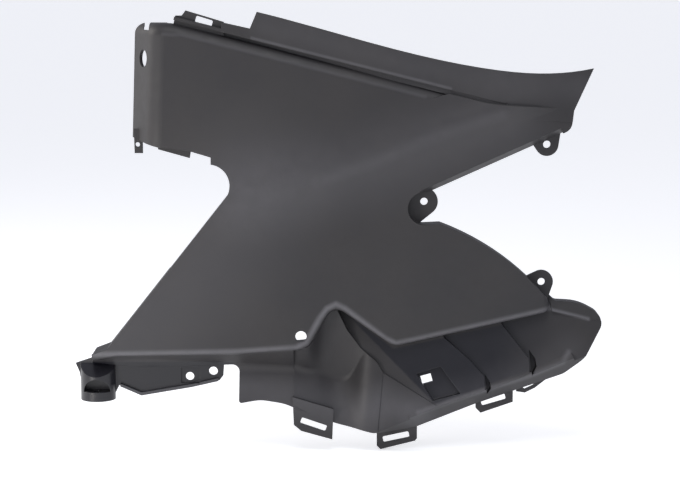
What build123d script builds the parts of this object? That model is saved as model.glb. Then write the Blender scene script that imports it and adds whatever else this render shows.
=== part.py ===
from build123d import *
from math import cos, hypot, radians, sin
import os

os.makedirs("parts", exist_ok=True)

# Driving dimensions in millimetres. X runs along the vehicle, Z is up, and the visible face looks towards -Y.
# A place on the panel is (x, height), and a level is a distance out of the panel towards the viewer.
# The origin is the centre of the notch ear's hole, on the ear's front face.
WALL = 2.5
RETURN_DEPTH = 18.0
FLANGE_DEPTH = 30.0

# Sizes of the cutting tools, all larger than the panel
TOOL_REACH = 900.0
TOOL_DEPTH = 120.0
# A face counts as a front face where its normal points at least this far towards the viewer
FRONT_LIMIT = 0.7

# Front skin: a flat upper face, a crest from the waist up to the right tip, and a lower face that falls away
SKIN_LEVEL = 10.0
SKIN_REACH = 215.0
LOWER_WIDTH = 200.0
LOWER_FALL = 24.0
CREST_ANGLE = 20.5
CREST_CENTRE = (-19.0, 40.0)
# Crest sections: distance along the crest, then its upper foot, its lower foot and the height of its flanks
CREST_SECTIONS = ((-340.0, 72.0, -46.0, 2.0), (220.0, 12.0, -9.0, 2.5))

# Outline of the main panel
ARM_LEFT_TOP = (-250.0, 141.0)
ARM_TOP_POINTS = ((-199.0, 141.0), (52.0, 78.0), (116.8, 74.4))
ARM_TOP_CORNERS = (40.0, 100.0)
ARM_END_POINTS = ((115.5, 58.0), (4.0, 8.0))
ARM_END_CORNER = 9.0
NOTCH_BACK = (-13.1, -4.0)
NOTCH_FOOT = (-1.0, -17.6)
NOTCH_LIP = (12.5, -17.0)
NOTCH_LOWER_MIDDLE = (52.8, -37.3)
NOTCH_LOWER_END = (99.2, -78.4)
SHOULDER_POINTS = (
    (103.0, -89.5),
    (-23.5, -117.5),
    (-72.0, -83.0),
    (-92.0, -119.5),
    (-150.0, -123.3),
    (-245.0, -124.0),
    (-265.0, -128.0),
)
SHOULDER_CORNERS = (7.0, 14.0, 9.0, 9.0, 120.0, 30.0)
TOE_POINTS = ((-265.0, -122.4), (-253.0, -117.8), (-157.0, 4.0))
WAIST_MIDDLE = (-154.5, 18.0)
WAIST_TOP = (-168.8, 30.4)
ARM_FOOT_POINTS = ((-168.8, 36.0), (-184.8, 40.8), (-211.0, 44.0), (-250.0, 54.0))

TOP_EDGE_RADIUS = 9.0
SHOULDER_RADIUS = 4.5
NOTCH_EDGE = ((-2.0, 5.3, 9.9), (109.0, 55.1, 9.9))
NOTCH_DRAFT_WIDTH = 4.5
NOTCH_DRAFT_DEPTH = 9.0
TOP_EDGE_PLACE = (-60.0, 106.1)
SHOULDER_PLACE = (40.0, -103.5)

# Turned-back flange at the left end of the upper arm
FLANGE_BEND = 16.0
FLANGE_TURN = 61.0
FLANGE_TILT = 2.0
FLANGE_FOLD = (-214.5, 100.0)
FLANGE_HEIGHT = 180.0
FLANGE_HOLE = (17.0, 13.0)
FLANGE_HOLE_RADIUS = 7.0
FLANGE_RIM_END = -204.0
FLANGE_NOTCH = (-219.5, 139.0)
FLANGE_NOTCH_SIZE = (5.0, 7.0)

# Stretch where the panel's wall runs down to the apron
DEEP_WALL_CORNER = (-108.0, -200.0)
DEEP_WALL_SIZE = (212.0, 120.0)

# Apron sections: x, then (height, level) where the drop leaves the panel, at the gutter and at the flared end
SIDE_SECTIONS = (
    (-285.0, (-124.0, 4.0), (-133.0, -5.0), (-165.0, 7.0)),
    (-219.0, (-121.5, 5.5), (-131.0, -5.0), (-165.0, 9.5)),
    (-150.0, (-121.0, 5.5), (-135.0, -8.0), (-172.0, 9.0)),
    (-104.0, (-118.0, 5.3), (-137.7, -9.7), (-178.0, 8.5)),
)
VALLEY_SECTIONS = (
    (-110.0, (-119.0, 5.5), (-137.0, -9.0), (-176.0, 8.5)),
    (-98.0, (-117.0, 5.0), (-138.5, -10.5), (-180.0, 8.5)),
    (-86.0, (-106.0, 3.0), (-141.0, -12.5), (-186.0, 8.5)),
    (-74.0, (-85.5, -2.5), (-145.5, -15.5), (-191.0, 8.5)),
    (-62.0, (-88.0, -3.0), (-146.0, -15.0), (-195.0, 8.5)),
    (-50.0, (-96.5, -3.5), (-128.0, -8.0), (-198.0, 9.0)),
    (-38.0, (-105.0, -3.5), (-124.0, -3.0), (-200.0, 9.5)),
    (-26.0, (-113.0, -2.5), (-131.0, -0.5), (-201.0, 10.0)),
)
GUTTER_RADIUS = 8.0
SECTION_BACK = -60.0
VALLEY_LEFT = -104.0
VALLEY_TOP = -70.0
APRON_REACH = -215.0
APRON_BACK = -26.0

# Louvres: the walls between them, and three places (x, height, level) on each sloping floor
CREST_WALL = ((-70.0, -86.0), (-61.0, -105.0), (-50.0, -120.0), (-37.0, -130.5))
FACET_TOP = (-32.0, -139.0)
FACET_EDGE = (FACET_TOP, (8.0, -163.0), (34.0, -178.0))
FACET_CREASE = (FACET_TOP, (-36.0, -179.0), (-38.0, -215.0))
FACET_FACE = ((*FACET_TOP, -1.2), (-36.0, -179.0, 5.2), (8.0, -163.0, 5.5))
STEP_LINES = (
    ((14.0, -105.0), (17.0, -111.0), (37.0, -128.0), (49.0, -141.0), (51.5, -180.0)),
    ((61.0, -95.0), (64.0, -101.0), (85.0, -127.0), (87.5, -180.0)),
)
RIDGE_LINE = ((101.0, -74.0), (104.0, -90.0), (133.0, -96.5), (152.0, -99.0))
NOSE_LOW_CORNER = (152.0, -180.0)
NOSE_HIGH_CORNER = (152.0, -74.0)
LOUVRE_FLOORS = (
    ((-70.0, -86.0, -17.5), (18.0, -112.0, -6.0), (50.0, -156.0, 6.0)),
    ((22.0, -111.0, -10.0), (64.0, -101.0, -8.0), (87.0, -141.0, 3.5)),
    ((68.0, -100.0, -12.0), (110.0, -92.0, -10.0), (115.0, -128.0, -1.0)),
)
RIDGE_FACE = ((104.0, -90.0, -8.5), (133.0, -96.5, -6.8), (120.0, -83.0, -14.0))
UNDERSIDE = ((-9.0, -172.0, 9.0), (117.0, -127.0, 3.0), (-5.5, -182.0, -1.0))
# Flared lip along each floor's lower end: the line where it leaves the floor, and its rise over its width
LIP_LINES = (
    ((-12.0, -172.0), (52.0, -151.0)),
    ((50.0, -151.0), (88.0, -137.0)),
    ((86.0, -137.5), (119.0, -122.5)),
)
LIP_WIDTH = 12.0
LIP_RISE = 9.0
# Blind slits at the lower end of each step, and the floor that each is sunk into
SLITS = (
    (((49.5, -140.0), (54.0, -146.0), (54.5, -151.0), (51.5, -156.0)), 1),
    (((85.5, -121.0), (90.5, -128.0), (91.5, -134.0), (87.5, -141.0)), 2),
)
SLIT_DEPTH = 7.0

# Outline of the apron
NOSE_POINTS = (
    (100.0, -76.0),
    (106.5, -82.5),
    (126.0, -83.5),
    (147.0, -95.0),
    (129.5, -128.0),
    (114.0, -141.0),
)
NOSE_CORNERS = (5.0, 40.0, 10.0, 25.0, 10.0)
APRON_EDGE = (
    (42.0, -165.0),
    (-6.0, -184.0),
    (-38.0, -187.5),
    (-70.0, -180.0),
    (-112.0, -163.5),
    (-131.0, -160.5),
    (-148.0, -163.0),
    (-148.0, -133.0),
    (-227.0, -135.0),
    (-266.0, -131.0),
)
APRON_CORNERS = (80.0, 30.0, 30.0, 60.0, 40.0, 30.0, 2.0, 6.0, 60.0)
APRON_HIDDEN = ((-266.0, -122.0), (-60.0, -60.0), (90.0, -60.0))
APRON_OPEN = (
    (-290.0, -122.0),
    (-290.0, -215.0),
    (104.0, -215.0),
    (104.0, -132.0),
    (60.0, -118.0),
    (-100.0, -128.0),
)

# Pocket with a clip window in the first louvre
POCKET_POINTS = ((-5.0, -140.0), (14.0, -134.0), (30.0, -155.0), (8.0, -161.0))
POCKET_DEPTH = 4.5
POCKET_WINDOW = (3.0, -144.5)
POCKET_WINDOW_SIZE = (8.5, 6.5)
POCKET_WINDOW_TURN = 16.0

# Upper strip, its groove and the slot tab at its left end
STRIP_TOP = ((-132.0, 150.0), (-43.0, 126.0), (47.0, 106.0), (92.0, 102.0), (132.0, 106.0))
STRIP_END = ((117.0, 73.0), (116.0, 64.0))
STRIP_LOWER = ((70.0, 66.0), (64.0, 79.4), (-160.0, 135.6))
STRIP_LEFT = ((-160.0, 142.0), (-137.5, 137.0), (-132.0, 150.0))
STRIP_FACE = ((-160.0, 138.0, 5.0), (120.0, 90.0, 10.0), (-120.0, 125.0, 5.9))
GROOVE_LINE = ((-197.0, 140.5), (64.0, 75.0))
GROOVE_WIDTH = 6.5
GROOVE_RISE = 2.3
GROOVE_FACE = ((-160.0, 138.0, -1.0), (120.0, 90.0, 11.3), (-120.0, 125.0, 0.9))
RISER_RISE = 4.4
SLOT_TAB_POINTS = (
    (-198.0, 138.0),
    (-196.0, 147.0),
    (-191.0, 147.0),
    (-188.0, 151.0),
    (-158.0, 142.0),
    (-158.0, 131.0),
)
SLOT_TAB_LEVEL = 2.0

# Ears: hole centre, level of the front face, outer radius, and the roots that run into the panel's wall
NOTCH_EAR_ROOTS = ((-4.0, 8.1), (-9.6, 3.7), (-12.5, -2.2), (-12.4, -7.9), (-9.6, -13.0), (-5.5, -16.1))
EARS = (
    ((0.0, 0.0), 0.0, 11.0, NOTCH_EAR_ROOTS),
    ((97.0, 45.5), 0.0, 9.2, ((86.0, 49.0), (106.0, 57.0))),
    ((95.0, -66.0), -9.0, 9.4, ((84.0, -63.0), (98.0, -80.0))),
)
EAR_THICKNESS = 3.0
EAR_ROOT_RADIUS = 2.0
EAR_HOLE_RADIUS = 3.0

# Rivet hole in the main face
RIVET_HOLE = (-98.0, -108.0)
RIVET_HOLE_RADIUS = 4.5

# Hook tabs from left to right: corners, level of the front face, slot centre, slot length and slot turn
VALLEY_TAB = ((-105.0, -158.0), (-104.0, -181.0), (-98.0, -186.0), (-73.0, -193.0), (-72.0, -168.0))
FACET_TAB = ((-37.0, -176.0), (-37.0, -200.0), (-34.0, -203.0), (-6.0, -196.0), (-4.4, -194.0), (-4.4, -174.0))
LOUVRE_TAB = ((43.0, -158.0), (43.0, -169.0), (47.0, -173.0), (73.0, -164.0), (73.0, -148.0))
NOSE_TAB = ((76.0, -146.0), (76.0, -156.0), (83.0, -157.0), (91.0, -153.0), (101.0, -145.0), (98.0, -138.0))
HOOK_TABS = (
    (VALLEY_TAB, 3.0, (-88.1, -180.6), 21.5, -19.0),
    (FACET_TAB, -5.0, (-21.4, -192.8), 21.5, 12.0),
    (LOUVRE_TAB, -6.0, (57.2, -162.2), 20.0, 16.5),
    (NOSE_TAB, -9.0, (85.2, -150.2), 9.0, 25.0),
)
TOP_TAB_SLOT = ((-173.6, 142.5), 13.6, -17.0)
SLOT_HEIGHT = 5.2
SLOT_CORNER = 1.2
TAB_THICKNESS = 3.0

# Tongue under the toe
TONGUE_POINTS = (
    (-280.0, -132.0),
    (-277.0, -139.0),
    (-275.0, -150.0),
    (-271.0, -158.0),
    (-263.0, -161.0),
    (-255.0, -159.0),
    (-248.0, -156.0),
    (-245.0, -150.0),
    (-227.0, -158.0),
    (-186.0, -151.0),
    (-164.0, -146.0),
    (-161.0, -142.0),
    (-160.0, -128.0),
    (-262.0, -126.0),
)
TONGUE_LEVEL = -5.5
TONGUE_THICKNESS = 3.0
TONGUE_RIM = ((-244.0, -150.6), (-227.0, -158.0), (-186.0, -151.0), (-165.0, -146.2))
RIM_WIDTH = 2.6
RIM_HEIGHT = 3.0
TONGUE_RECESS = (-187.5, -142.0)
RECESS_SIZE = (15.0, 12.0)
RECESS_DEPTH = 1.5
TONGUE_HOLES = (((-188.0, -143.0), 3.4), ((-169.0, -138.5), 3.6))
BOSS_X = -262.0
BOSS_RADIUS = 14.0
BOSS_FOOT = -161.0
BOSS_HEIGHT = 30.0
BOSS_SLOPE = ((-280.0, -131.5, -5.5), (-244.0, -131.5, -5.5), (-262.0, -141.0, 8.5))
BOSS_FLOOR = -153.5
BOSS_ARCH_RADIUS = 10.5
BOSS_HOLE_RADIUS = 2.75
BOSS_HOLE_LEVEL = 2.0

# Small tabs below the upper arm
ARM_TAB_POINTS = ((-212.0, 52.0), (-211.0, 41.5), (-186.0, 34.5), (-184.5, 44.0))
ARM_TAB_LEVEL = -1.0
HOOK_POINTS = ((-231.0, 57.0), (-230.5, 37.6), (-224.0, 37.6), (-224.0, 57.0))
HOOK_LEVEL = -10.0
HOOK_HOLE = (-228.0, 44.5)
HOOK_HOLE_RADIUS = 1.8


def shifted(points, across, up):
    return [(x + across, height + up) for x, height in points]


def facing(corners, inset):
    first, second, third = [Vector(x, -level, height) for x, height, level in corners]
    normal = (second - first).cross(third - first).normalized()
    if normal.Y > 0:
        normal = normal * -1
    return Plane(origin=first - normal * inset, x_dir=second - first, z_dir=normal)


def crest_place(distance, reach):
    turn = radians(CREST_ANGLE)
    x = CREST_CENTRE[0] + distance * cos(turn) - reach * sin(turn)
    height = CREST_CENTRE[1] + distance * sin(turn) + reach * cos(turn)
    return x, height


def upper_slab(front_depth, back_depth):
    start, end = CREST_SECTIONS
    area = [crest_place(*start[:2]), crest_place(*end[:2])]
    area += [crest_place(end[0], SKIN_REACH), crest_place(start[0], SKIN_REACH)]
    with BuildPart() as slab:
        with BuildSketch(Plane.XZ.offset(SKIN_LEVEL - back_depth)):
            with BuildLine():
                Polyline(*area, close=True)
            make_face()
        extrude(amount=back_depth - front_depth)
    return slab.part


def crest_slab(front_depth, back_depth):
    across = Vector(-sin(radians(CREST_ANGLE)), 0, cos(radians(CREST_ANGLE)))
    along = Vector(cos(radians(CREST_ANGLE)), 0, sin(radians(CREST_ANGLE)))
    front = SKIN_LEVEL - front_depth
    back = SKIN_LEVEL - back_depth
    with BuildPart() as slab:
        for distance, foot, low, rise in CREST_SECTIONS:
            # The two hollow flanks and the crown share the width evenly
            flank = (foot - low) / 3
            upper_bend = (foot - flank, front + rise)
            lower_bend = (low + flank, front + rise)
            x, height = crest_place(distance, 0)
            with BuildSketch(Plane(origin=(x, 0, height), x_dir=across, z_dir=along)):
                with BuildLine():
                    # The hidden side follows the crest in flats
                    if front_depth > 0:
                        Polyline((foot, front), upper_bend, lower_bend, (low, front))
                    else:
                        hollow = TangentArc((foot, front), upper_bend, tangent=(-1, 0))
                        crown = TangentArc(upper_bend, lower_bend, tangent=hollow % 1)
                        TangentArc(lower_bend, (low, front), tangent=crown % 1)
                    Polyline((low, front), (low, back), (foot, back), (foot, front))
                make_face()
        loft(ruled=True)
    return slab.part


def lower_slab(front_depth, back_depth):
    start, end = [crest_place(distance, low) for distance, foot, low, rise in CREST_SECTIONS]
    run = Vector(end[0] - start[0], 0, end[1] - start[1])
    front = SKIN_LEVEL - front_depth
    back = SKIN_LEVEL - back_depth
    with BuildPart() as slab:
        with BuildSketch(Plane(origin=(start[0], 0, start[1]), x_dir=(-run.Z, 0, run.X), z_dir=run)):
            with BuildLine():
                fall = TangentArc((0, front), (-LOWER_WIDTH, front - LOWER_FALL), tangent=(-1, 0))
                Polyline(fall @ 1, (-LOWER_WIDTH, back - LOWER_FALL), (0, back), (0, front))
            make_face()
        extrude(amount=run.length)
    return slab.part


def flange_plane(inset):
    fold = Vector(sin(radians(FLANGE_TILT)), 0, cos(radians(FLANGE_TILT)))
    left = Vector(-cos(radians(FLANGE_TILT)), 0, sin(radians(FLANGE_TILT)))
    normal = left * sin(radians(FLANGE_TURN)) + Vector(0, -cos(radians(FLANGE_TURN)), 0)
    corner = Vector(FLANGE_FOLD[0], -SKIN_LEVEL, FLANGE_FOLD[1])
    return Plane(origin=corner - normal * inset, x_dir=fold, z_dir=normal)


def front_edge(part, spot):
    front = part.faces().filter_by(lambda face: face.normal_at().Y < -FRONT_LIMIT)
    needle = Edge.make_line((spot[0], -TOOL_DEPTH, spot[1]), (spot[0], TOOL_DEPTH, spot[1]))
    return min(front.edges(), key=lambda edge: edge.distance_to(needle))


def notch_tool(inset):
    start, end = [Vector(x, -level, height) for x, height, level in NOTCH_EDGE]
    run = (end - start).normalized()
    inwards = Vector(0, -1, 0).cross(run).normalized()
    slope = hypot(NOTCH_DRAFT_WIDTH, NOTCH_DRAFT_DEPTH)
    inset_across = inset * slope / NOTCH_DRAFT_DEPTH
    draft = NOTCH_DRAFT_WIDTH / NOTCH_DRAFT_DEPTH
    edge = NOTCH_DRAFT_WIDTH + inset_across
    # The tool reaches once the draft's depth in front of the edge and twice behind it
    reach = NOTCH_DRAFT_DEPTH
    behind = 2 * reach
    with BuildPart() as tool:
        with BuildSketch(Plane(origin=start, x_dir=inwards, z_dir=run)):
            with BuildLine():
                Polyline(
                    (edge + reach * draft, reach),
                    (edge - behind * draft, -behind),
                    (edge - behind * draft - reach, -behind),
                    (edge - behind * draft - reach, reach),
                    close=True,
                )
            make_face()
        extrude(amount=(end - start).length)
    return tool.part


def panel_block(inset, depth, sketch):
    with BuildPart() as upper:
        add(upper_slab(inset, depth))
        extrude(to_extrude=sketch, amount=TOOL_DEPTH, both=True, mode=Mode.INTERSECT)
        with BuildSketch(flange_plane(inset)):
            Rectangle(FLANGE_HEIGHT, FLANGE_HEIGHT)
        extrude(amount=TOOL_DEPTH, mode=Mode.SUBTRACT)
        fillet(front_edge(upper.part, FLANGE_FOLD), radius=FLANGE_BEND - inset)
        fillet(front_edge(upper.part, TOP_EDGE_PLACE), radius=TOP_EDGE_RADIUS - inset)
    with BuildPart() as block:
        add(crest_slab(inset, depth))
        add(lower_slab(inset, depth))
        extrude(to_extrude=sketch, amount=TOOL_DEPTH, both=True, mode=Mode.INTERSECT)
        if inset == 0:
            fillet(front_edge(block.part, SHOULDER_PLACE), radius=SHOULDER_RADIUS)
        add(upper.part)
        add(notch_tool(inset), mode=Mode.SUBTRACT)
    return block.part


def inset_chain(start, gutter, end, inset):
    drop = Vector(gutter[0] - start[0], gutter[1] - start[1]).normalized()
    flare = Vector(end[0] - gutter[0], end[1] - gutter[1]).normalized()
    drop_back = Vector(-drop.Y, drop.X) * inset
    flare_back = Vector(-flare.Y, flare.X) * inset
    first = Vector(*start) + drop_back
    last = Vector(*end) + flare_back
    gap = Vector(*gutter) + flare_back - first
    reach = (gap.X * flare.Y - gap.Y * flare.X) / (drop.X * flare.Y - drop.Y * flare.X)
    return first, first + drop * reach, last


def section_loft(sections, inset, straight):
    with BuildPart() as block:
        for x, start, gutter, end in sections:
            top, corner, foot = inset_chain(start, gutter, end, inset)
            with BuildSketch(Plane(origin=(x, 0, 0), x_dir=(0, 0, 1), z_dir=(1, 0, 0))):
                with BuildLine():
                    chain = FilletPolyline(
                        (top.X, top.Y),
                        (corner.X, corner.Y),
                        (foot.X, foot.Y),
                        (foot.X, SECTION_BACK),
                        (top.X, SECTION_BACK),
                        radius=(GUTTER_RADIUS + inset, 0, 0),
                    )
                    Line(chain @ 1, chain @ 0)
                make_face()
        loft(ruled=straight)
    return block.part


def faced_block(sketch, corners, inset):
    with BuildPart() as block:
        extrude(to_extrude=sketch, amount=TOOL_DEPTH, both=True)
        with BuildSketch(facing(corners, inset)):
            Rectangle(TOOL_REACH, TOOL_REACH)
        extrude(amount=TOOL_DEPTH * 2, mode=Mode.SUBTRACT)
    return block.part


def polygon(points):
    with BuildSketch(Plane.XZ) as shape:
        with BuildLine():
            Polyline(*points, close=True)
        make_face()
    return shape.sketch


def grown(sketch, amount):
    if amount == 0:
        return sketch
    with BuildSketch(Plane.XZ) as shape:
        offset(sketch, amount=amount)
    return shape.sketch


def sheet(sketch, front, back, thickness):
    with BuildPart() as block:
        add(faced_block(sketch, front, 0))
        with BuildSketch(facing(back, thickness)):
            Rectangle(TOOL_REACH, TOOL_REACH)
        extrude(amount=-TOOL_DEPTH * 2, mode=Mode.SUBTRACT)
    return block.part


def band(line, rise, width):
    with BuildSketch(Plane.XZ) as shape:
        with BuildLine():
            Polyline(*shifted(line, 0, rise))
        trace(line_width=width)
    return shape.sketch


def pocket_tool(points, floor, depth, inset):
    with BuildPart() as tool:
        extrude(to_extrude=grown(polygon(points), inset), amount=TOOL_DEPTH, both=True)
        with BuildSketch(facing(LOUVRE_FLOORS[floor], inset + depth)):
            Rectangle(TOOL_REACH, TOOL_REACH)
        extrude(amount=-TOOL_DEPTH * 2, mode=Mode.SUBTRACT)
    return tool.part


def lip_block(line, floor, inset):
    floor_plane = facing(LOUVRE_FLOORS[floor], 0)
    start, end = [Vector(x, 0, height) for x, height in line]
    outwards = Vector(0, 1, 0).cross(end - start).normalized()
    if outwards.Z > 0:
        outwards = outwards * -1
    places = []
    for spot, rise in ((start, 0), (end, 0), (start + outwards * LIP_WIDTH, LIP_RISE)):
        reach = floor_plane.z_dir.dot(floor_plane.origin - spot) / floor_plane.z_dir.Y
        places.append((spot.X, spot.Z, rise - reach))
    area = [line[0], line[1]]
    for spot in (end, start):
        area.append(((spot + outwards * LIP_WIDTH).X, (spot + outwards * LIP_WIDTH).Z))
    return faced_block(polygon(area), places, inset)


def apron_block(inset):
    crest = shifted(CREST_WALL, -inset, 0)
    crease = shifted(FACET_CREASE, -inset, 0)
    facet_edge = shifted(FACET_EDGE, -inset, 0)
    steps = [shifted(line, -inset, 0) for line in STEP_LINES]
    nose = shifted((*RIDGE_LINE, NOSE_LOW_CORNER), inset, inset)
    valley = [(VALLEY_LEFT, VALLEY_TOP), *crest, *crease, (VALLEY_LEFT, APRON_REACH)]
    with BuildPart() as block:
        # The hidden side of the valley runs straight from section to section
        add(section_loft(VALLEY_SECTIONS, inset, inset > 0))
        extrude(to_extrude=polygon(valley), amount=TOOL_DEPTH, both=True, mode=Mode.INTERSECT)
        add(section_loft(SIDE_SECTIONS, inset, True))
        add(faced_block(polygon([*facet_edge, *crease[:0:-1]]), FACET_FACE, inset))
        floor_edges = ([*crest, *facet_edge], *steps, nose)
        for floor, corners in enumerate(LOUVRE_FLOORS):
            left, right = floor_edges[floor : floor + 2]
            add(faced_block(polygon([*left, *right[::-1]]), corners, inset))
            add(lip_block(LIP_LINES[floor], floor, inset))
        add(faced_block(grown(polygon([*RIDGE_LINE, NOSE_HIGH_CORNER]), -inset), RIDGE_FACE, inset))
        with BuildSketch(facing(UNDERSIDE, inset)):
            Rectangle(TOOL_REACH, TOOL_REACH)
        extrude(amount=TOOL_DEPTH, mode=Mode.SUBTRACT)
        add(pocket_tool(POCKET_POINTS, 0, POCKET_DEPTH, inset), mode=Mode.SUBTRACT)
        for points, floor in SLITS:
            add(pocket_tool(points, floor, SLIT_DEPTH, inset), mode=Mode.SUBTRACT)
    return block.part


with BuildSketch(Plane.XZ) as panel_outline:
    with BuildLine():
        arm_top = FilletPolyline(ARM_LEFT_TOP, *ARM_TOP_POINTS, radius=ARM_TOP_CORNERS)
        arm_end = FilletPolyline(arm_top @ 1, *ARM_END_POINTS, radius=ARM_END_CORNER)
        notch_back = ThreePointArc(arm_end @ 1, NOTCH_BACK, NOTCH_FOOT)
        notch_lip = Line(notch_back @ 1, NOTCH_LIP)
        notch_lower = ThreePointArc(notch_lip @ 1, NOTCH_LOWER_MIDDLE, NOTCH_LOWER_END)
        shoulder = FilletPolyline(notch_lower @ 1, *SHOULDER_POINTS, radius=SHOULDER_CORNERS)
        toe = Polyline(shoulder @ 1, *TOE_POINTS)
        waist = ThreePointArc(toe @ 1, WAIST_MIDDLE, WAIST_TOP)
        Polyline(waist @ 1, *ARM_FOOT_POINTS, arm_top @ 0)
    make_face()

with BuildSketch(Plane.XZ) as apron_outline:
    with BuildLine():
        apron_edge = FilletPolyline(*NOSE_POINTS, *APRON_EDGE, radius=(*NOSE_CORNERS, *APRON_CORNERS))
        Polyline(apron_edge @ 1, *APRON_HIDDEN, apron_edge @ 0)
    make_face()

with BuildSketch(Plane.XZ) as apron_inner:
    offset(apron_outline.sketch, amount=-WALL)
    add(polygon(APRON_OPEN))
    add(panel_outline.sketch, mode=Mode.SUBTRACT)

with BuildPart() as rim_cut:
    add(crest_slab(RETURN_DEPTH, TOOL_DEPTH))
    add(upper_slab(RETURN_DEPTH, TOOL_DEPTH))
    add(lower_slab(RETURN_DEPTH, TOOL_DEPTH))
    with BuildSketch(Plane.XZ):
        with Locations((FLANGE_RIM_END + TOOL_REACH / 2, 0)):
            Rectangle(TOOL_REACH, TOOL_REACH)
        with Locations(DEEP_WALL_CORNER):
            Rectangle(*DEEP_WALL_SIZE, align=Align.MIN, mode=Mode.SUBTRACT)
    extrude(amount=TOOL_DEPTH * 2, both=True, mode=Mode.INTERSECT)

with BuildPart() as apron:
    add(apron_block(0))
    extrude(to_extrude=apron_outline.sketch, amount=TOOL_DEPTH, both=True, mode=Mode.INTERSECT)
    with BuildSketch(Plane.XZ.offset(APRON_BACK)):
        Rectangle(TOOL_REACH, TOOL_REACH)
    extrude(amount=-TOOL_DEPTH, mode=Mode.SUBTRACT)

with BuildPart() as apron_core:
    add(apron_block(WALL))
    extrude(to_extrude=apron_inner.sketch, amount=TOOL_DEPTH, both=True, mode=Mode.INTERSECT)

with BuildSketch(Plane.XZ) as strip_outline:
    with BuildLine():
        strip_top = Spline(*STRIP_TOP)
        strip_end = Polyline(strip_top @ 1, *STRIP_END)
        Polyline(strip_end @ 1, *STRIP_LOWER, *STRIP_LEFT)
    make_face()

with BuildPart() as shell:
    add(panel_block(0, FLANGE_DEPTH, panel_outline.sketch))
    add(rim_cut.part, mode=Mode.SUBTRACT)
    add(apron.part)
    add(panel_block(WALL, FLANGE_DEPTH + WALL, grown(panel_outline.sketch, -WALL)), mode=Mode.SUBTRACT)
    add(apron_core.part, mode=Mode.SUBTRACT)

with BuildPart() as boss:
    with BuildSketch(Plane.XY.offset(BOSS_FOOT)):
        with Locations((BOSS_X, -TONGUE_LEVEL)):
            Circle(BOSS_RADIUS)
            Rectangle(BOSS_RADIUS * 2, BOSS_RADIUS, align=(Align.CENTER, Align.MIN), mode=Mode.SUBTRACT)
    extrude(amount=BOSS_HEIGHT)
    with BuildSketch(facing(BOSS_SLOPE, 0)):
        Rectangle(TOOL_REACH, TOOL_REACH)
    extrude(amount=TOOL_DEPTH, mode=Mode.SUBTRACT)
    with BuildSketch(Plane.XZ.offset(TONGUE_LEVEL)):
        with Locations((BOSS_X, BOSS_FLOOR)):
            Circle(BOSS_ARCH_RADIUS)
            Rectangle(BOSS_RADIUS * 2, BOSS_RADIUS, align=(Align.CENTER, Align.MAX), mode=Mode.SUBTRACT)
    extrude(amount=TOOL_DEPTH, mode=Mode.SUBTRACT)
    with BuildSketch(Plane.XY.offset(BOSS_FOOT)):
        with Locations((BOSS_X, -BOSS_HOLE_LEVEL)):
            Circle(BOSS_HOLE_RADIUS)
    extrude(amount=BOSS_FLOOR - BOSS_FOOT, mode=Mode.SUBTRACT)

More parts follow.
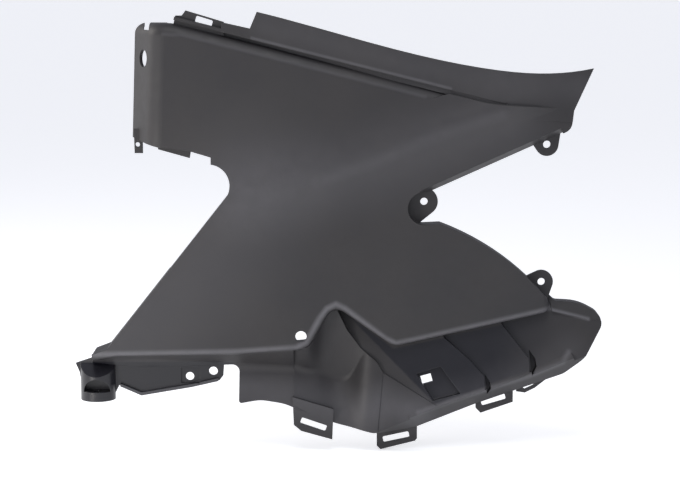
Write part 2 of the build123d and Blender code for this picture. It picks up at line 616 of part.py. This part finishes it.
with BuildPart() as leg_shield:
    add(shell.part)
    # Upper strip, its riser and the groove floor
    add(sheet(strip_outline.sketch, STRIP_FACE, STRIP_FACE, WALL))
    add(sheet(band(GROOVE_LINE, GROOVE_RISE, GROOVE_WIDTH), GROOVE_FACE, GROOVE_FACE, WALL))
    add(sheet(band(GROOVE_LINE, RISER_RISE, WALL), STRIP_FACE, GROOVE_FACE, WALL))
    with BuildSketch(Plane.XZ.offset(SLOT_TAB_LEVEL - TAB_THICKNESS)):
        with BuildLine():
            Polyline(*SLOT_TAB_POINTS, close=True)
        make_face()
        with Locations(TOP_TAB_SLOT[0]):
            RectangleRounded(
                TOP_TAB_SLOT[1],
                SLOT_HEIGHT,
                SLOT_CORNER,
                rotation=TOP_TAB_SLOT[2],
                mode=Mode.SUBTRACT,
            )
    extrude(amount=TAB_THICKNESS)
    # Ears
    for centre, level, radius, roots in EARS:
        with BuildSketch(Plane.XZ.offset(level - EAR_THICKNESS)):
            with Locations(centre):
                Circle(radius)
            with Locations(*roots):
                Circle(EAR_ROOT_RADIUS)
            make_hull()
            with Locations(centre):
                Circle(EAR_HOLE_RADIUS, mode=Mode.SUBTRACT)
        extrude(amount=EAR_THICKNESS)
    # Hook tabs along the lower edge
    for corners, level, slot, length, turn in HOOK_TABS:
        with BuildSketch(Plane.XZ.offset(level - TAB_THICKNESS)):
            with BuildLine():
                Polyline(*corners, close=True)
            make_face()
            with Locations(slot):
                RectangleRounded(length, SLOT_HEIGHT, SLOT_CORNER, rotation=turn, mode=Mode.SUBTRACT)
        extrude(amount=TAB_THICKNESS)
    # Tongue with its screw boss
    with BuildSketch(Plane.XZ.offset(TONGUE_LEVEL - TONGUE_THICKNESS)):
        with BuildLine():
            Polyline(*TONGUE_POINTS, close=True)
        make_face()
        for place, radius in TONGUE_HOLES:
            with Locations(place):
                Circle(radius, mode=Mode.SUBTRACT)
    extrude(amount=TONGUE_THICKNESS)
    with BuildSketch(Plane.XZ.offset(TONGUE_LEVEL)):
        with BuildLine():
            Polyline(*TONGUE_RIM, *shifted(TONGUE_RIM, 0, RIM_WIDTH)[::-1], close=True)
        make_face()
    extrude(amount=RIM_HEIGHT)
    with BuildSketch(Plane.XZ.offset(TONGUE_LEVEL - RECESS_DEPTH)):
        with Locations(TONGUE_RECESS):
            Rectangle(*RECESS_SIZE)
    extrude(amount=TOOL_DEPTH, mode=Mode.SUBTRACT)
    add(boss.part)
    # Small tabs below the upper arm
    with BuildSketch(Plane.XZ.offset(ARM_TAB_LEVEL - WALL)):
        with BuildLine():
            Polyline(*ARM_TAB_POINTS, close=True)
        make_face()
    extrude(amount=WALL)
    with BuildSketch(Plane.XZ.offset(HOOK_LEVEL - WALL)):
        with BuildLine():
            Polyline(*HOOK_POINTS, close=True)
        make_face()
        with Locations(HOOK_HOLE):
            Circle(HOOK_HOLE_RADIUS, mode=Mode.SUBTRACT)
    extrude(amount=WALL)
    # Holes through the shell
    with BuildSketch(Plane.XZ):
        with Locations(RIVET_HOLE):
            Circle(RIVET_HOLE_RADIUS)
        with Locations(POCKET_WINDOW):
            Rectangle(*POCKET_WINDOW_SIZE, rotation=POCKET_WINDOW_TURN)
        with Locations(FLANGE_NOTCH):
            Rectangle(*FLANGE_NOTCH_SIZE)
    extrude(amount=TOOL_DEPTH, both=True, mode=Mode.SUBTRACT)
    with BuildSketch(flange_plane(0)):
        with Locations((FLANGE_HOLE[1], FLANGE_HOLE[0])):
            Circle(FLANGE_HOLE_RADIUS)
    extrude(amount=FLANGE_HOLE_RADIUS, both=True, mode=Mode.SUBTRACT)
leg_shield.part.label = "leg_shield"
export_step(leg_shield.part, "parts/leg_shield.step")
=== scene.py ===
# %% [markdown]
# # A moulded scooter leg shield
#
# The real object is one thin panel of black polypropylene, injection moulded in a grained tool. It has no
# paint, no trim and no moving piece, so everything the eye gets comes from three things: the form of the
# panel, the fine grain that the tool leaves on it, and soft light that slides over its faces. The form is
# already in the solid model, so this lesson loads that model as it is and spends its steps on the plastic,
# the light and the view.

import math

import bpy
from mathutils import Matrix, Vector


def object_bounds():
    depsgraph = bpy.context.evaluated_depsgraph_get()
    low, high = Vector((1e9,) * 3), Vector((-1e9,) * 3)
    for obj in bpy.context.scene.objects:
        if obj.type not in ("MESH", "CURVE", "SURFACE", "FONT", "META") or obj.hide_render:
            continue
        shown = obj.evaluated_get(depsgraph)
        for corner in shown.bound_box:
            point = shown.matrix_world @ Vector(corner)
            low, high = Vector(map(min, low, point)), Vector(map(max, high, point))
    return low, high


MM = 0.001

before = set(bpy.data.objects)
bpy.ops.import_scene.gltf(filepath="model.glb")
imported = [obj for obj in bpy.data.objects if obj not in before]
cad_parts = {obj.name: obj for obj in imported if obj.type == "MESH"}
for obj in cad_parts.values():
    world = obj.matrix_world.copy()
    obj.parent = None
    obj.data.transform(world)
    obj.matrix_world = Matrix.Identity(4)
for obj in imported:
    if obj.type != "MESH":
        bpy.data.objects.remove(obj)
cad_low, cad_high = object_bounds()
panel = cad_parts["leg_shield"]
print("panel box in mm:", [round((b - a) / MM, 1) for a, b in zip(cad_low, cad_high)])

# %% [markdown]
# ## Two small helpers
#
# Colours are written as the hex values that a colour picker shows on a photograph. A shader works in linear
# light, so one function turns a hex value into linear numbers. A second function adds a shader node, sets its
# options and links its inputs in one call. With these two, a material reads as a list of what it is made of.
# Some nodes have several inputs of one name, so an input can also be given by an underscore and its number.


# %% Colour and node helpers
def linear(hex_colour):
    """Linear red, green, blue and alpha of an sRGB hex colour."""
    parts = [int(hex_colour[k : k + 2], 16) / 255 for k in (1, 3, 5)]
    return (*[c / 12.92 if c <= 0.04045 else ((c + 0.055) / 1.055) ** 2.4 for c in parts], 1.0)


def node(tree, kind, settings=None, **inputs):
    """Adds one node with its options, and gives each named input a value or a link."""
    made = tree.nodes.new(kind)
    for name, value in (settings or {}).items():
        setattr(made, name, value)
    for name, value in inputs.items():
        socket = made.inputs[int(name[1:])] if name[0] == "_" else made.inputs[name.replace("_", " ")]
        if isinstance(value, bpy.types.NodeSocket):
            tree.links.new(value, socket)
        else:
            socket.default_value = value
    return made


print("mid grey as linear:", round(linear("#808080")[0], 4))

# %% [markdown]
# ## Where the grain changes and shade is painted
#
# The tool for such a panel isn't grained alike all over. The large outer faces carry a coarse grain that
# scatters light and looks grey. The sunk louvre floors and the tongue are given a finer grain with a tighter
# sheen. They lie in the shade under the shoulder and the toe, and that shade is painted on them as a darker,
# slightly bluer colour. A map of those areas could be painted, but straight lines bound them, so a few
# distances say the same in the panel's own millimetres.
#
# A place is on the louvre floors where it lies inside the crest line, the lip line and the foot of the nose,
# and below either run of the shoulder. It is on the tongue where it lies left of the apron and below the toe.
# The finer grain and the painted shade begin sharply at most lines, but at the nose they set in slowly.

# %% Lines round the finer areas
SHARP = 1.5
SLOW = 50.0
# Each line by its two ends (x and height), and the distance over which the finer grain and painted shade set
# in, all in mm
GRAIN_LINES = {
    "crest": ((-70, -86), (8, -163), SHARP),
    "lip": ((-12, -173), (119, -124), SHARP),
    "nose": ((105, -140), (112, -92), SLOW),
    "shoulder": ((103, -91.5), (-23.5, -119.5), SHARP),
    "apex": ((-23.5, -119.5), (-72, -85), SHARP),
    "apron": ((-152, -200), (-152, -128), SHARP),
    "toe": ((-152, -129.5), (-290, -129.5), SHARP),
}


def spot(x, height):
    """Place in the panel's plane, in metres, from millimetres."""
    return Vector((x * MM, 0, height * MM))


def share_inside(tree, place, first, second, blur):
    """How far the finer grain and painted shade have set in to the left of a line, looking along it from its
    first end.
    """
    start = spot(*first)
    run = (spot(*second) - start).normalized()
    across = Vector((-run.z, 0, run.x))
    foot = across.dot(start)
    reach = node(tree, "ShaderNodeVectorMath", {"operation": "DOT_PRODUCT"}, _0=place, _1=across)
    share = node(
        tree,
        "ShaderNodeMapRange",
        Value=reach.outputs["Value"],
        From_Min=foot,
        From_Max=foot + blur * MM,
    )
    return share.outputs["Result"]


def fine_and_shade_mask(tree, place):
    """One on the louvre floors and the tongue, zero elsewhere, with a blur between."""
    inside = {name: share_inside(tree, place, *line) for name, line in GRAIN_LINES.items()}
    least = {"operation": "MINIMUM"}
    most = {"operation": "MAXIMUM"}
    floors = node(tree, "ShaderNodeMath", most, _0=inside["shoulder"], _1=inside["apex"]).outputs[0]
    for bound in ("crest", "lip", "nose"):
        floors = node(tree, "ShaderNodeMath", least, _0=floors, _1=inside[bound]).outputs[0]
    tongue = node(tree, "ShaderNodeMath", least, _0=inside["apron"], _1=inside["toe"]).outputs[0]
    return node(tree, "ShaderNodeMath", most, _0=floors, _1=tongue).outputs[0]


print("grain lines:", list(GRAIN_LINES))

# %% [markdown]
# ## Painted light along the ridges and faces
#
# A leg shield is brushed by legs and shoes, and its ridges are touched first when it is fitted, washed or
# stacked. Those ridges also catch the lamps, and that highlight is painted on as a lighter colour. The narrow
# painted highlights follow the ridges that the solid already has: the rounded shoulder, the nose's crease,
# the lip below the louvres, the roll and the strip's edge along the top, the folded rim of the tongue and the
# diagonal crest. Wider bands of painted light, on faces that turn towards the lamps, run from the toe over the
# waist and along the arm, along the top strip, and over the apron's flare and facet.

# %% Painted highlight lines
# Lines of places (x and height in mm)
SHOULDER_LEFT = ((-264, -122), (-150, -120), (-102, -117), (-94, -113), (-83, -93), (-77, -85), (-70, -81.5))
SHOULDER_RIGHT = ((-63, -85), (-30, -110.5), (-22, -114.5), (-12, -112.5), (101, -87.5))
NOSE_CREASE = ((104, -89), (133, -96))
LIP = ((-4, -170), (32, -157.5), (84, -142), (112, -130.5), (117, -122))
STRIP_EDGE = ((-136, 129.6), (20, 90.4))
TOP_ROLL = ((-205, 133), (-190, 132), (0, 84))
TONGUE_RIM = ((-243, -150), (-227, -156.5), (-186, -149.5), (-166, -145))
CREST_RIDGE = ((-85, 17), (-43, 31), (8, 53), (60, 70))
STRIP = ((-125, 140), (0, 106), (120, 92))
ARM = ((-140, 8), (-43, 28), (60, 62))
WAIST = ((-240, -108), (-185, -60), (-140, 8))
APRON_FLARE = ((-145, -152), (-100, -160), (-45, -178))
FACET = ((-34, -162), (-8, -172))

# Each line with the distance in mm over which its painted light fades, and how strong the painted light is on
# the line
# Painted highlights along the ridges, where the real ridges catch the lamps
HIGHLIT_RIDGES = (
    (SHOULDER_LEFT + SHOULDER_RIGHT, 4.0, 0.5),
    (NOSE_CREASE, 2.5, 0.5),
    (LIP, 3.5, 0.3),
    (LIP, 24.0, 0.1),
    (STRIP_EDGE, 2.0, 0.25),
    (TOP_ROLL, 2.5, 0.14),
    (TONGUE_RIM, 2.5, 0.25),
    (CREST_RIDGE, 8.0, 0.07),
)
# Painted light on faces that turn towards the lamps
LIT_BANDS = (
    (STRIP, 22.0, 0.1),
    (ARM, 52.0, 0.14),
    (WAIST, 90.0, 0.12),
    (APRON_FLARE, 26.0, 0.2),
    (FACET, 24.0, 0.24),
)
print("rubbed ridges:", len(HIGHLIT_RIDGES), "and brushed bands:", len(LIT_BANDS))

# %% [markdown]
# ## Painted light that fades from a line
#
# The painted light could come from an image, but then it would need a picture. A distance does as well: for
# each straight run of a line, the nearest place on the run is found, and the painted light fades with the gap
# to it. Only faces that look outwards get it, so it fades again where a face turns away from the front.

# %% Painted light mask
FAR_AWAY = 1.0
PLANE_ONLY = (1, 0, 1)
OUTWARDS = (0, -1, 0)
# Cosine of the turn from the front at which the painted light ends, and at which it is full
FACING_NONE = 0.1
FACING_FULL = 0.4


def distance_to(tree, flat, line):
    """Distance of a place in the panel's plane to a line of straight runs."""
    nearest = FAR_AWAY
    for first, second in zip(line, line[1:]):
        start = spot(*first)
        run = spot(*second) - start
        course = run.normalized()
        away = node(tree, "ShaderNodeVectorMath", {"operation": "SUBTRACT"}, _0=flat, _1=start).outputs[0]
        along = node(tree, "ShaderNodeVectorMath", {"operation": "DOT_PRODUCT"}, _0=away, _1=course)
        held = node(tree, "ShaderNodeClamp", Value=along.outputs["Value"], Min=0.0, Max=run.length).outputs[0]
        foot = node(tree, "ShaderNodeVectorMath", {"operation": "SCALE"}, _0=course, Scale=held).outputs[0]
        gap = node(tree, "ShaderNodeVectorMath", {"operation": "DISTANCE"}, _0=away, _1=foot).outputs["Value"]
        nearest = node(tree, "ShaderNodeMath", {"operation": "MINIMUM"}, _0=nearest, _1=gap).outputs[0]
    return nearest


def highlight_mask(tree, place, lines):
    """How strong the painted light is near some lines, on faces that look outwards."""
    flat = node(tree, "ShaderNodeVectorMath", {"operation": "MULTIPLY"}, _0=place, _1=PLANE_ONLY).outputs[0]
    painted_light = 0.0
    for line, width, amount in lines:
        fade = node(
            tree,
            "ShaderNodeMapRange",
            {"interpolation_type": "SMOOTHSTEP"},
            Value=distance_to(tree, flat, line),
            From_Min=0.0,
            From_Max=width * MM,
            To_Min=amount,
            To_Max=0.0,
        ).outputs["Result"]
        painted_light = node(tree, "ShaderNodeMath", {"operation": "ADD"}, _0=painted_light, _1=fade).outputs[0]
    normal = node(tree, "ShaderNodeNewGeometry").outputs["Normal"]
    facing = node(tree, "ShaderNodeVectorMath", {"operation": "DOT_PRODUCT"}, _0=normal, _1=OUTWARDS)
    front = node(
        tree,
        "ShaderNodeMapRange",
        Value=facing.outputs["Value"],
        From_Min=FACING_NONE,
        From_Max=FACING_FULL,
    ).outputs["Result"]
    return node(tree, "ShaderNodeMath", {"operation": "MULTIPLY"}, _0=painted_light, _1=front).outputs[0]


print("straight runs that are rubbed:", sum(len(line) - 1 for line, _, _ in HIGHLIT_RIDGES))

# %% [markdown]
# ## The plastic
#
# Polypropylene for body panels is coloured through with carbon black and moulded against a spark-eroded tool,
# which leaves an even leathery grain of about 0.2 mm. That grain is finer than a pixel here, so it is drawn
# about four times coarser, where it can still break up the highlight. Carbon black takes up nearly all the
# light that enters, so what the eye sees is mostly the soft sheen of the surface. A panel that has been
# handled has faint cloudy patches, where the grain is a little more polished. Moulded edges are never quite
# sharp, so a narrow rounding catches a little light along them.
#
# The colour is laid on in layers: the plastic, then painted light on the bands, then painted shade on the
# finer areas, then painted highlights on the ridges. The patterns are noise in the panel's own coordinates, in
# metres, so the sizes below are real sizes.

# %% Moulded polypropylene
GRAIN_SIZE = 0.9 * MM
GRAIN_DEPTH = 0.05 * MM
CLOUD_SIZE = 70 * MM
SCUFF_SIZE = 9 * MM
EDGE_ROUNDING = 0.7 * MM
EDGE_SAMPLES = 6
CLOUD_TONES = ("#201f22", "#272526")
# Lighter colour of the painted highlights and painted light
PAINTED_LIGHT_TONE = "#747378"
# Darker, bluer colour of the painted shade on the finer areas
FINE_GRAIN_AND_SHADE_TONE = "#15151b"
POLYPROPYLENE_IOR = 1.49
COARSE_RELIEF = 0.55
FINE_RELIEF = 0.15
# Most of what a noise gives lies between these two numbers
NOISE_LOW = 0.3
NOISE_HIGH = 0.7
# What follows the scuffs: the share of the painted light that shows, and the roughness of both grains
SCUFFED = {"painted_light": (0.75, 1.0), "coarse": (0.5, 0.6), "fine_and_shaded": (0.28, 0.34)}


def moulded_polypropylene():
    """Charcoal panel plastic with a moulded grain, cloudy sheen, finer areas with painted shade, and painted
    light on ridges and bands.
    """
    material = bpy.data.materials.new("moulded_polypropylene_charcoal")
    material.use_nodes = True
    tree = material.node_tree
    tree.nodes.clear()
    place = node(tree, "ShaderNodeTexCoord").outputs["Object"]
    # Where the finer grain is, and where shade is painted on the louvre floors and the tongue
    fine_and_shaded = fine_and_shade_mask(tree, place)

    cloud = node(tree, "ShaderNodeTexNoise", Vector=place, Scale=1 / CLOUD_SIZE, Detail=3.0, Roughness=0.55)
    scuff = node(tree, "ShaderNodeTexNoise", Vector=place, Scale=1 / SCUFF_SIZE, Detail=5.0, Roughness=0.6)
    grain = node(tree, "ShaderNodeTexNoise", Vector=place, Scale=1 / GRAIN_SIZE, Detail=2.0, Roughness=0.5)
    scuffed = {}
    for name, (lowest, highest) in SCUFFED.items():
        scuffed[name] = node(
            tree,
            "ShaderNodeMapRange",
            Value=scuff.outputs["Fac"],
            From_Min=NOISE_LOW,
            From_Max=NOISE_HIGH,
            To_Min=lowest,
            To_Max=highest,
        ).outputs["Result"]

    tone = node(tree, "ShaderNodeValToRGB", Fac=cloud.outputs["Fac"])
    for stop, position, shade in zip(tone.color_ramp.elements, (NOISE_LOW, NOISE_HIGH), CLOUD_TONES):
        stop.position = position
        stop.color = linear(shade)
    times = {"operation": "MULTIPLY"}
    # Painted light: the lighter colour on the bands and the painted highlights on the ridges, broken up by the
    # scuffs
    lit = node(tree, "ShaderNodeMath", times, _0=highlight_mask(tree, place, LIT_BANDS), _1=scuffed["painted_light"])
    highlit = node(tree, "ShaderNodeMath", times, _0=highlight_mask(tree, place, HIGHLIT_RIDGES), _1=scuffed["painted_light"])

    # A Mix node has its two colours at inputs 6 and 7, and the mixed colour at output 2
    colour = tone.outputs["Color"]
    # Layers over the plastic: painted light on the bands, painted shade on the finer areas, painted highlights
    # on the ridges
    for shade, amount in ((PAINTED_LIGHT_TONE, lit.outputs[0]), (FINE_GRAIN_AND_SHADE_TONE, fine_and_shaded), (PAINTED_LIGHT_TONE, highlit.outputs[0])):
        layer = node(tree, "ShaderNodeMix", {"data_type": "RGBA"}, _0=amount, _6=colour, _7=linear(shade))
        colour = layer.outputs[2]

    # Coarse grain has a broad dull sheen, fine grain a tighter one and a shallower relief
    gloss = node(tree, "ShaderNodeMix", _0=fine_and_shaded, _2=scuffed["coarse"], _3=scuffed["fine_and_shaded"])
    relief = node(tree, "ShaderNodeMapRange", Value=fine_and_shaded, To_Min=COARSE_RELIEF, To_Max=FINE_RELIEF)
    soft_edge = node(tree, "ShaderNodeBevel", {"samples": EDGE_SAMPLES}, Radius=EDGE_ROUNDING)
    bump = node(
        tree,
        "ShaderNodeBump",
        Strength=relief.outputs["Result"],
        Distance=GRAIN_DEPTH,
        Height=grain.outputs["Fac"],
        Normal=soft_edge.outputs["Normal"],
    )
    plastic = node(
        tree,
        "ShaderNodeBsdfPrincipled",
        Base_Color=colour,
        Roughness=gloss.outputs[0],
        IOR=POLYPROPYLENE_IOR,
        Normal=bump.outputs["Normal"],
    )
    node(tree, "ShaderNodeOutputMaterial", Surface=plastic.outputs["BSDF"])
    return material


panel.data.materials.clear()
panel.data.materials.append(moulded_polypropylene())
print("panel material:", panel.data.materials[0].name, "on", len(panel.data.polygons), "faces")

# %% [markdown]
# ## Floor
#
# A panel photographed for a parts list stands on a white table. One large pale floor under the lowest tab does
# the same: from a low camera it fills the picture behind the panel, so no separate wall is needed and the
# panel can be seen from every side. A photographer would light the far end of the table to keep it white. A
# faint glow of its own does that here, and like the real table it sends a little light up into the panel.

# %% Pale floor
FLOOR_SPAN = 80.0
FLOOR_WHITE = "#f2f3f4"
FLOOR_ROUGHNESS = 0.6
FLOOR_GLOW = 0.52


def matt_white_laminate():
    """Plain matt white surface that keeps its white into the distance."""
    material = bpy.data.materials.new("matt_white_laminate")
    material.use_nodes = True
    tree = material.node_tree
    tree.nodes.clear()
    surface = node(
        tree,
        "ShaderNodeBsdfPrincipled",
        Base_Color=linear(FLOOR_WHITE),
        Roughness=FLOOR_ROUGHNESS,
        Emission_Color=linear(FLOOR_WHITE),
        Emission_Strength=FLOOR_GLOW,
    )
    node(tree, "ShaderNodeOutputMaterial", Surface=surface.outputs["BSDF"])
    return material


bpy.ops.mesh.primitive_plane_add(size=FLOOR_SPAN, location=(0, 0, cad_low[2]))
floor = bpy.context.object
floor.name = "floor"
floor.data.materials.append(matt_white_laminate())
print("floor height in mm:", round(cad_low[2] / MM, 1))

# %% [markdown]
# ## Light
#
# The brightest faces of the real panel are those that turn left or up: the folded flange, the roll along the
# top edge, the crest at the waist and the lip under the louvres. Faces that turn right and down go dark. That
# asks for a soft light at the left, a little behind the panel, one high in front, and a small one low at the
# left that fades towards the right. An even pale room opens the shadows.

# %% Studio light
CENTRE = Vector((-0.067, 0.0, -0.03))
WARM = "#fffaf4"
NEUTRAL = "#ffffff"
ROOM_TONE = "#f1f3ff"
ROOM_STRENGTH = 0.5
# Name, place and size in metres, power in watts, colour
LIGHTS = (
    ("left_light", (-1.3, 0.16, 0.55), 0.8, 11.0, WARM),
    ("top_light", (-0.067, -0.7, 1.182), 0.7, 7.0, NEUTRAL),
    ("low_left_light", (-0.6, -0.5, -0.1), 0.18, 1.7, WARM),
)


def soft_box(name, place, size, power, colour):
    """Square area light at a place, turned to the panel's centre."""
    lamp = bpy.data.lights.new(name, "AREA")
    lamp.energy = power
    lamp.size = size
    lamp.color = linear(colour)[:3]
    holder = bpy.data.objects.new(name, lamp)
    holder.location = place
    holder.rotation_euler = (CENTRE - Vector(place)).to_track_quat("-Z", "Y").to_euler()
    bpy.context.scene.collection.objects.link(holder)


for light in LIGHTS:
    soft_box(*light)

room = bpy.data.worlds.new("white_room")
bpy.context.scene.world = room
room.use_nodes = True
room_light = room.node_tree.nodes["Background"]
room_light.inputs["Color"].default_value = linear(ROOM_TONE)
room_light.inputs["Strength"].default_value = ROOM_STRENGTH
bpy.context.scene.view_settings.view_transform = "Standard"

# %% [markdown]
# ## Camera
#
# The photograph was taken from well back, almost square to the panel and from a little above it. A long lens
# at 1.6 m keeps the outline nearly free of perspective. The lens is worked out from the width that the picture
# covers at the panel, and the aim is the point of the panel that lies in the middle of the picture.

# %% Camera
PICTURE_WIDTH = 542 * MM
DISTANCE = 1.6
ELEVATION = math.radians(8)
AIM = Vector((-66.8 * MM, 0.0, -30.5 * MM))
# A camera's lens and sensor are in millimetres
SENSOR_WIDTH = 36.0

view = bpy.data.cameras.new("photo_view")
view.sensor_width = SENSOR_WIDTH
view.lens = SENSOR_WIDTH * DISTANCE / PICTURE_WIDTH
camera = bpy.data.objects.new("photo_view", view)
camera.location = AIM + DISTANCE * Vector((0, -math.cos(ELEVATION), math.sin(ELEVATION)))
camera.rotation_euler = (AIM - camera.location).to_track_quat("-Z", "Y").to_euler()
bpy.context.scene.collection.objects.link(camera)
bpy.context.scene.camera = camera
print("lens in mm:", round(view.lens, 1))
